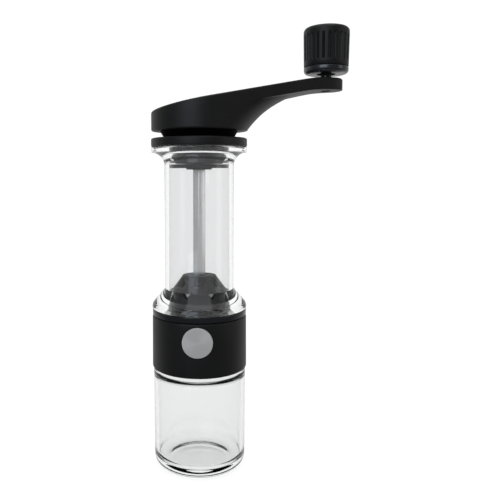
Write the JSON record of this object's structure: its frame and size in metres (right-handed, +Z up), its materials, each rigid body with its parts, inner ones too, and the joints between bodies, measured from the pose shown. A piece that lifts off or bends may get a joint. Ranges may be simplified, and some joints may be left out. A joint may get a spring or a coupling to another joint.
{
  "type": "pepper mill",
  "caption": "Hand-cranked pepper mill with a glass jar, black collar, clear hopper tube, hex drive shaft, conical burrs, lid and crank arm with a turning knob.",
  "frame": {"origin": "centre of the jar's flat bottom, on the mill's long axis", "axes": "+Z up along the drive shaft, +X along the crank arm at rest, the badge faces -Y"},
  "size_m": [0.1029, 0.0507, 0.2315],
  "materials": {
    "jar_glass": "clear, polished",
    "clear_plastic": "clear, polished",
    "black_plastic": "fine satin moulding",
    "deep_black_plastic": "matt",
    "gloss_black_plastic": "polished",
    "grey_plastic": "satin",
    "steel": "drawn and polished",
    "brushed_steel": "spun",
    "spring_steel": "bright",
    "ceramic": "unglazed ceramic",
    "silicone_rubber": "matt",
    "nylon": "satin"
  },
  "bodies": {
    "jar": {"glass_jar": "jar_glass"},
    "gasket": {"jar_gasket": "silicone_rubber"},
    "mill_body": {"collar_shell": "black_plastic", "badge_disc": "brushed_steel", "badge_pad": "silicone_rubber", "base_ring": "gloss_black_plastic", "hopper_seal": "silicone_rubber", "hopper_tube": "clear_plastic", "burr_cage": "grey_plastic", "lower_bush": "nylon", "burr_housing": "grey_plastic", "outer_burr": "ceramic", "burr_funnel": "nylon", "housing_screw_1": "spring_steel", "housing_screw_2": "spring_steel", "housing_screw_3": "spring_steel", "upper_guide": "grey_plastic", "upper_bush": "nylon"},
    "lid": {"lid_ring": "black_plastic", "lid_plug": "grey_plastic", "lid_seal": "silicone_rubber", "lid_bush": "nylon"},
    "crank": {"crank_arm": "black_plastic", "crank_neck": "deep_black_plastic", "shaft_socket": "steel", "socket_clip": "spring_steel", "neck_screw_1": "spring_steel", "neck_screw_2": "spring_steel", "knob_pin": "steel", "knob_washer": "nylon"},
    "knob": {"knob_cap": "black_plastic", "knob_base": "gloss_black_plastic", "knob_sleeve": "nylon"},
    "drive": {"drive_shaft": "steel", "shaft_ring": "spring_steel", "burr_spring": "spring_steel"},
    "burr": {"inner_burr": "ceramic", "adjuster_washer": "spring_steel"},
    "adjuster": {"adjuster_nut": "deep_black_plastic"}
  },
  "joints": [
    {"name": "body_rise", "type": "slide", "parent": "jar", "child": "gasket", "axis": [0, 0, 1], "range_m": [0, 0.006]},
    {"name": "body_turn", "type": "hinge", "parent": "gasket", "child": "mill_body", "pos_m": [0, 0, 0.067], "axis": [0, 0, 1], "range_deg": [0, 540]},
    {"name": "lid_lift", "type": "slide", "parent": "mill_body", "child": "lid", "axis": [0, 0, 1], "range_m": [0, 0.03]},
    {"name": "crank_turn", "type": "hinge", "parent": "lid", "child": "crank", "pos_m": [0, 0, 0.178], "axis": [0, 0, 1], "continuous": true},
    {"name": "knob_spin", "type": "hinge", "parent": "crank", "child": "knob", "pos_m": [0.066, 0, 0.215], "axis": [0, 0, 1], "continuous": true},
    {"name": "drive_turn", "type": "hinge", "parent": "mill_body", "child": "drive", "pos_m": [0, 0, 0.12], "axis": [0, 0, 1], "continuous": true},
    {"name": "burr_shift", "type": "slide", "parent": "drive", "child": "burr", "axis": [0, 0, -1], "range_m": [0, 0.001], "deforming": ["burr_spring"]},
    {"name": "adjust_turn", "type": "hinge", "parent": "burr", "child": "adjuster", "pos_m": [0, 0, 0.065], "axis": [0, 0, -1], "range_deg": [0, 360]}
  ],
  "couplings": [
    {"joint": "body_rise", "follows": "body_turn", "m_per_rad": 0.0006366},
    {"joint": "drive_turn", "follows": "crank_turn", "ratio": 1},
    {"joint": "adjust_turn", "follows": "burr_shift", "rad_per_m": 6283.2}
  ]
}
